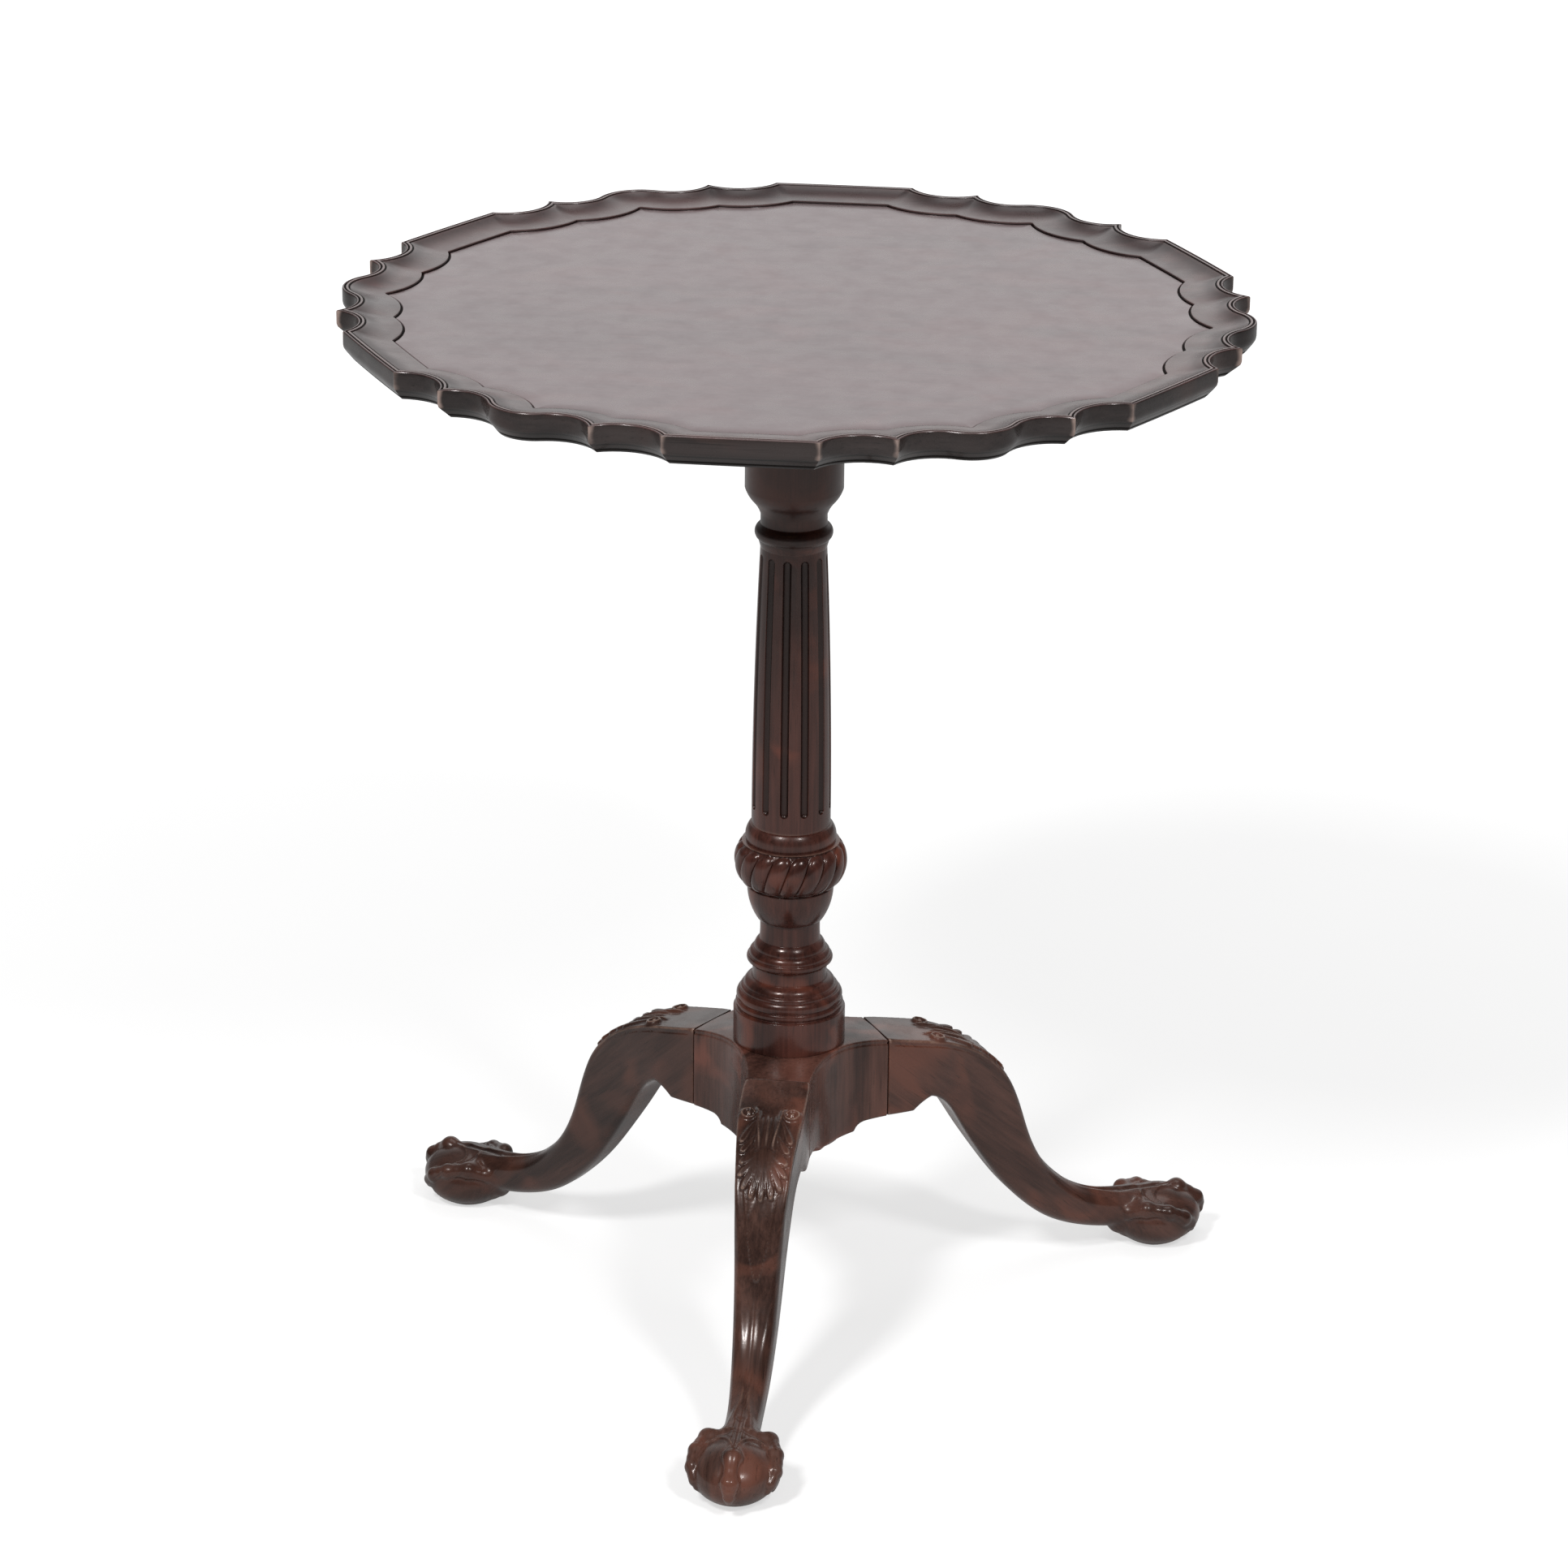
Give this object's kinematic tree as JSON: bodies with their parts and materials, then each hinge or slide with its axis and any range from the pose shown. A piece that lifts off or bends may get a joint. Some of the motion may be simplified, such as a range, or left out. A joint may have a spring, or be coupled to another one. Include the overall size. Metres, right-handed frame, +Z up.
{
  "type": "tilt-top tripod table",
  "caption": "Occasional table with a round scalloped tray top that tilts upright on a block, a fluted and turned pillar, and cabriole legs with claw-and-ball feet",
  "frame": {"origin": "on the floor, on the pillar's axis", "axes": "+Z up along the pillar; the front leg points along -Y; the pivot pins lie along X, behind the pillar"},
  "size_m": [0.59, 0.6054, 0.711],
  "materials": {
    "base_wood": "dark aged hardwood, polished",
    "top_wood": "dark aged hardwood, satin polish",
    "inner_wood": "stained, unpolished",
    "brass": "aged",
    "iron": "dark, as forged",
    "spring_steel": "blued"
  },
  "bodies": {
    "base": {"column": "base_wood", "hub_block": "base_wood", "leg_front": "base_wood", "leg_right": "base_wood", "leg_left": "base_wood", "leg_dowels": "inner_wood", "pivot_block": "inner_wood", "tenon_wedge": "inner_wood", "pivot_pins": "iron", "strike_plate": "brass", "strike_screws": "brass"},
    "top": {"table_top": "top_wood", "bearer_left": "inner_wood", "bearer_right": "inner_wood", "bearer_screws": "iron", "catch_case": "brass", "catch_screws": "brass", "catch_spring": "spring_steel"},
    "bolt": {"catch_bolt": "brass", "catch_knob": "brass"}
  },
  "joints": [
    {"name": "top_tilt", "type": "hinge", "parent": "base", "child": "top", "pos_m": [0, 0.042, 0.6762], "axis": [-1, 0, 0], "range_deg": [0, 90]},
    {"name": "bolt_slide", "type": "slide", "parent": "top", "child": "bolt", "axis": [0, 1, 0], "range_m": [0, 0.007], "stiffness_N_per_m": 200, "springref_m": 0.02, "deforming": ["catch_spring"]}
  ]
}
